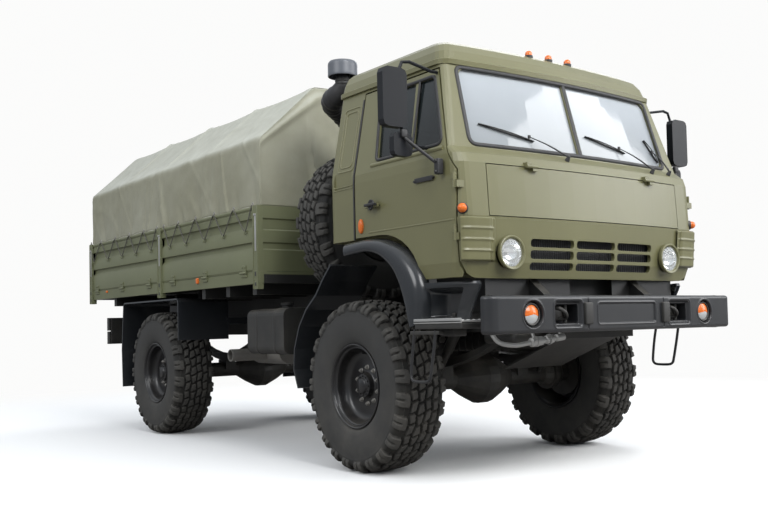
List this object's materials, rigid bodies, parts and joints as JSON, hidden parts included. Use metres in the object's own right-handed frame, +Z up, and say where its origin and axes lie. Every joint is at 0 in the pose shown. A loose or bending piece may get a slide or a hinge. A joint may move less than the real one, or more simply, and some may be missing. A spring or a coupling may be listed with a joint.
{
  "type": "military cargo truck",
  "caption": "Two-axle cab-over cargo truck with a tilting cab, steering front axle, boarded load bed under a canvas tilt, and a spare wheel upright behind the cab.",
  "frame": {"origin": "on the ground under the middle of the truck's overall length, on its centre plane", "axes": "-Y points forwards, +Y rearwards along the length, +X to the driver's left, +Z up"},
  "size_m": [3.09, 7, 3.165],
  "materials": {
    "olive_paint": "olive-green paint, slightly worn",
    "dark_paint": "dark blue-grey paint, satin",
    "chassis_paint": "black chassis paint, dusty",
    "bare_steel": "bare worn steel",
    "canvas": "olive-grey coated canvas",
    "tyre_rubber": "dusty black rubber",
    "glass": "clear window glass",
    "lamp_glass": "clear lamp glass over a bright bowl",
    "seat_cloth": "black cloth and plastic"
  },
  "bodies": {
    "chassis": {"frame": "chassis_paint", "front_bumper": "dark_paint", "skid_plate": "bare_steel", "engine": "chassis_paint", "driveline": "chassis_paint", "front_axle": "chassis_paint", "rear_axle": "chassis_paint", "fuel_tank": "chassis_paint", "battery_box": "chassis_paint", "exhaust": "chassis_paint", "mudguard_front_R": "dark_paint", "mudguard_front_L": "dark_paint", "mudguard_rear_R": "chassis_paint", "mudguard_rear_L": "chassis_paint", "fender_R": "dark_paint", "fender_L": "dark_paint", "bed_platform": "olive_paint", "headboard": "olive_paint", "sideboard_R_front": "olive_paint", "sideboard_R_rear": "olive_paint", "sideboard_L_front": "olive_paint", "sideboard_L_rear": "olive_paint", "canopy": "canvas", "spare_tyre": "tyre_rubber", "spare_rim": "chassis_paint", "spare_carrier": "olive_paint", "snorkel": "dark_paint", "tail_lamp_R": "chassis_paint", "tail_lamp_L": "chassis_paint"},
    "cab": {"cab_shell": "olive_paint", "cab_roof": "olive_paint", "grille_panel": "olive_paint", "headlamp_R": "lamp_glass", "headlamp_L": "lamp_glass", "windscreen": "glass", "rear_glass": "glass", "dashboard": "seat_cloth", "seat_driver": "seat_cloth", "seat_passenger": "seat_cloth", "steering_wheel": "seat_cloth"},
    "hood": {"hood_panel": "olive_paint"},
    "door_right": {"door_R": "olive_paint", "door_glass_R": "glass", "mirrors_R": "dark_paint"},
    "door_left": {"door_L": "olive_paint", "door_glass_L": "glass", "mirrors_L": "dark_paint"},
    "steering_right": {"knuckle_R": "chassis_paint"},
    "steering_left": {"knuckle_L": "chassis_paint"},
    "wheel_front_right": {"tyre_FR": "tyre_rubber", "rim_FR": "chassis_paint"},
    "wheel_front_left": {"tyre_FL": "tyre_rubber", "rim_FL": "chassis_paint"},
    "wheel_rear_right": {"tyre_RR": "tyre_rubber", "rim_RR": "chassis_paint"},
    "wheel_rear_left": {"tyre_RL": "tyre_rubber", "rim_RL": "chassis_paint"},
    "track_rod": {"track_rod": "chassis_paint"},
    "tailgate": {"tailgate": "olive_paint"}
  },
  "joints": [
    {"name": "cab_tilt", "type": "hinge", "parent": "chassis", "child": "cab", "pos_m": [0, -3.218, 1.195], "axis": [1, 0, 0], "range_deg": [0, 42]},
    {"name": "hood_open", "type": "hinge", "parent": "cab", "child": "hood", "pos_m": [0, -3.238, 2.066], "axis": [-1, 0, 0], "range_deg": [0, 80]},
    {"name": "door_right_open", "type": "hinge", "parent": "cab", "child": "door_right", "pos_m": [-1.19, -3.139, 1.9], "axis": [0, 0, 1], "range_deg": [0, 68]},
    {"name": "door_left_open", "type": "hinge", "parent": "cab", "child": "door_left", "pos_m": [1.19, -3.139, 1.9], "axis": [0, 0, -1], "range_deg": [0, 68]},
    {"name": "steer_left", "type": "hinge", "parent": "chassis", "child": "steering_left", "pos_m": [0.76, -1.968, 0.6166], "axis": [0, 0, 1], "range_deg": [-28, 28]},
    {"name": "steer_right", "type": "hinge", "parent": "chassis", "child": "steering_right", "pos_m": [-0.76, -1.968, 0.6166], "axis": [0, 0, 1], "range_deg": [-28, 28]},
    {"name": "track_rod_pivot", "type": "hinge", "parent": "steering_left", "child": "track_rod", "pos_m": [0.66, -1.658, 0.5966], "axis": [0, 0, 1], "range_deg": [-28, 28]},
    {"name": "wheel_front_right_spin", "type": "hinge", "parent": "steering_right", "child": "wheel_front_right", "pos_m": [-1.016, -1.968, 0.6166], "axis": [1, 0, 0], "continuous": true},
    {"name": "wheel_front_left_spin", "type": "hinge", "parent": "steering_left", "child": "wheel_front_left", "pos_m": [1.016, -1.968, 0.6166], "axis": [1, 0, 0], "continuous": true},
    {"name": "wheel_rear_right_spin", "type": "hinge", "parent": "chassis", "child": "wheel_rear_right", "pos_m": [-1.016, 1.702, 0.6166], "axis": [1, 0, 0], "continuous": true},
    {"name": "wheel_rear_left_spin", "type": "hinge", "parent": "chassis", "child": "wheel_rear_left", "pos_m": [1.016, 1.702, 0.6166], "axis": [1, 0, 0], "continuous": true},
    {"name": "tailgate_drop", "type": "hinge", "parent": "chassis", "child": "tailgate", "pos_m": [0, 3.48, 1.523], "axis": [-1, 0, 0], "range_deg": [0, 90]}
  ],
  "couplings": [
    {"joint": "steer_right", "follows": "steer_left", "ratio": 1},
    {"joint": "track_rod_pivot", "follows": "steer_left", "ratio": -1}
  ]
}
